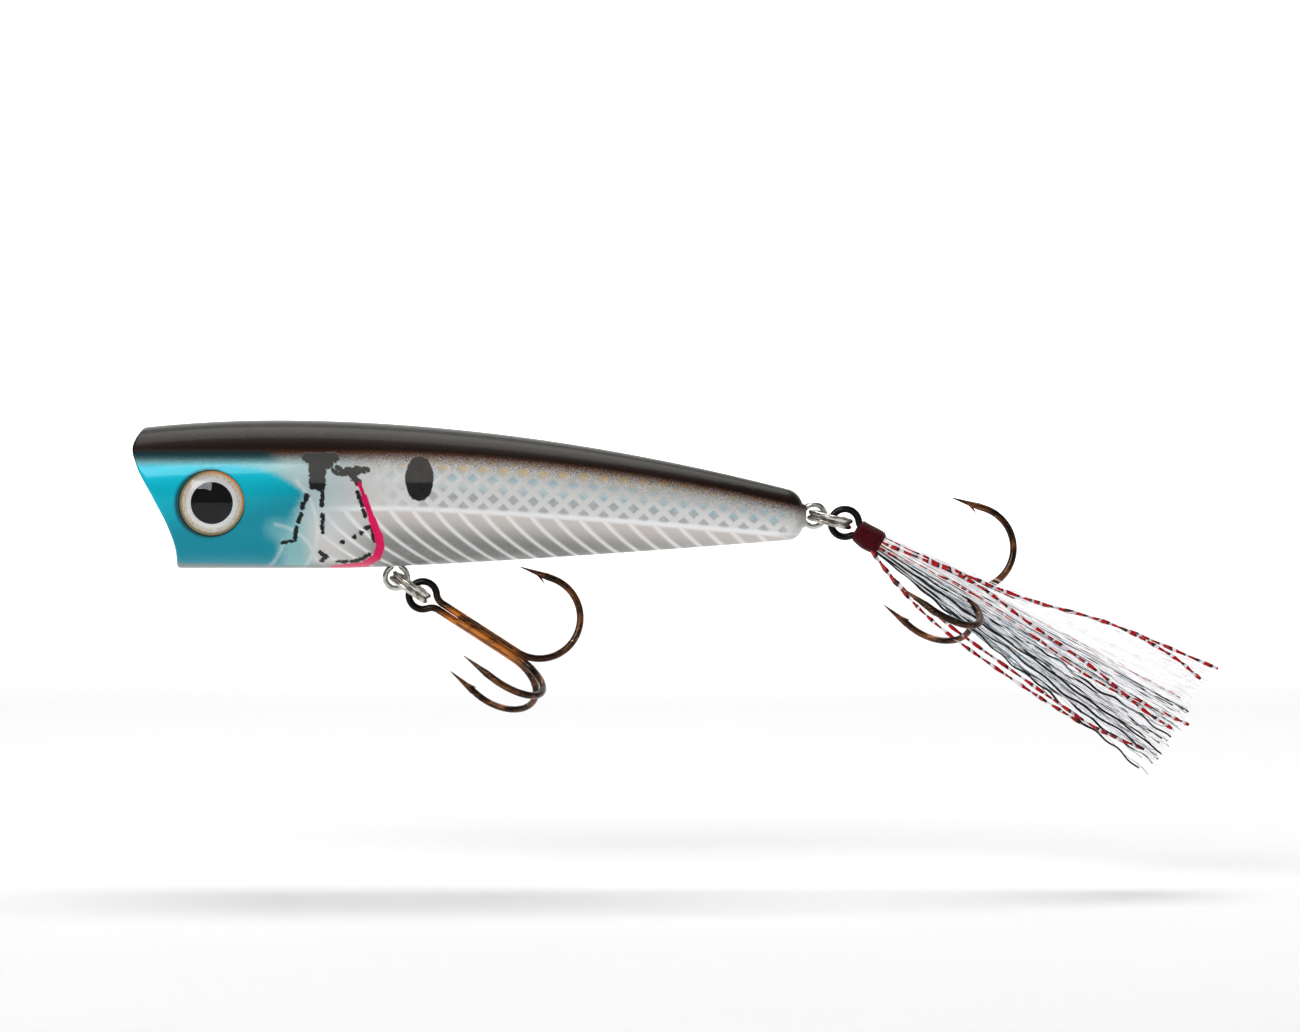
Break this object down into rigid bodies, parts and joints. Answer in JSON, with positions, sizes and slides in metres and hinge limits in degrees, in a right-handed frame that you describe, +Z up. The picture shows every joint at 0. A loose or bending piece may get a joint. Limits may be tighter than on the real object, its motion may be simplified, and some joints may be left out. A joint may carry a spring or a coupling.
{
  "type": "topwater popper",
  "caption": "Hollow surface fishing lure with a cupped mouth, wire hangers, split rings, treble hooks that swing, and a dressed tail.",
  "frame": {"origin": "centre of the line tie's eye, in the middle of the mouth cup", "axes": "+X from the mouth to the tail, +Z up towards the back, the left side faces -Y"},
  "size_m": [0.1299, 0.0183, 0.0431],
  "materials": {
    "body_paint": "pearl paint under clear coat, dark brown back, teal head, silver scaled flanks",
    "eye_foil": "printed foil, gold rim, silver ring, black pupil",
    "eye_lens": "clear domed plastic",
    "wire_steel": "bright stainless wire",
    "split_ring": "nickel plated",
    "hook_bronze": "bronze lacquer",
    "hook_braze": "lacquered braze",
    "steel_ball": "polished",
    "ballast": "dull grey",
    "thread": "dark red thread under varnish",
    "white_hair": "translucent white hair",
    "black_flash": "crinkled black fibre",
    "pearl_flash": "pearl iridescent fibre",
    "red_flash": "red, black and clear banded fibre"
  },
  "bodies": {
    "root": {"left_body_half": "body_paint", "right_body_half": "body_paint", "left_eye_foil": "eye_foil", "left_eye_lens": "eye_lens", "right_eye_foil": "eye_foil", "right_eye_lens": "eye_lens", "line_tie": "wire_steel", "belly_hook_hanger": "wire_steel", "tail_hook_hanger": "wire_steel", "tail_ballast": "ballast"},
    "belly_ring": {"belly_split_ring": "split_ring"},
    "belly_treble": {"belly_double_hook": "hook_bronze", "belly_single_hook": "hook_bronze", "belly_hook_braze": "hook_braze"},
    "tail_ring": {"tail_split_ring": "split_ring"},
    "tail_treble": {"tail_double_hook": "hook_bronze", "tail_single_hook": "hook_bronze", "tail_hook_braze": "hook_braze", "tail_thread_wrap": "thread", "tail_white_hackle": "white_hair", "tail_black_flash": "black_flash", "tail_pearl_flash": "pearl_flash", "tail_red_flash": "red_flash"},
    "ball_1": {"rattle_ball_1": "steel_ball"},
    "ball_2": {"rattle_ball_2": "steel_ball"},
    "ball_3": {"rattle_ball_3": "steel_ball"}
  },
  "joints": [
    {"name": "belly_ring_swing", "type": "hinge", "parent": "root", "child": "belly_ring", "pos_m": [0.02617, 0, -0.00915], "axis": [0, 1, 0], "range_deg": [-2, 118]},
    {"name": "belly_hook_sway", "type": "hinge", "parent": "belly_ring", "child": "belly_treble", "pos_m": [0.02782, 0, -0.01028], "axis": [0.5664, 0, 0.8241], "range_deg": [-45, 45]},
    {"name": "tail_ring_swing", "type": "hinge", "parent": "root", "child": "tail_ring", "pos_m": [0.07557, 0, -0.00183], "axis": [0, 1, 0], "range_deg": [-85, 60]},
    {"name": "tail_hook_sway", "type": "hinge", "parent": "tail_ring", "child": "tail_treble", "pos_m": [0.07751, 0, -0.0023], "axis": [0.2334, 0, 0.9724], "range_deg": [-45, 45]},
    {"name": "rattle_ball_1_slide", "type": "slide", "parent": "root", "child": "ball_1", "axis": [1, 0, 0], "range_m": [0, 0.0036]},
    {"name": "rattle_ball_2_slide", "type": "slide", "parent": "root", "child": "ball_2", "axis": [1, 0, 0], "range_m": [0, 0.0036]},
    {"name": "rattle_ball_3_slide", "type": "slide", "parent": "root", "child": "ball_3", "axis": [1, 0, 0], "range_m": [0, 0.0036]}
  ]
}
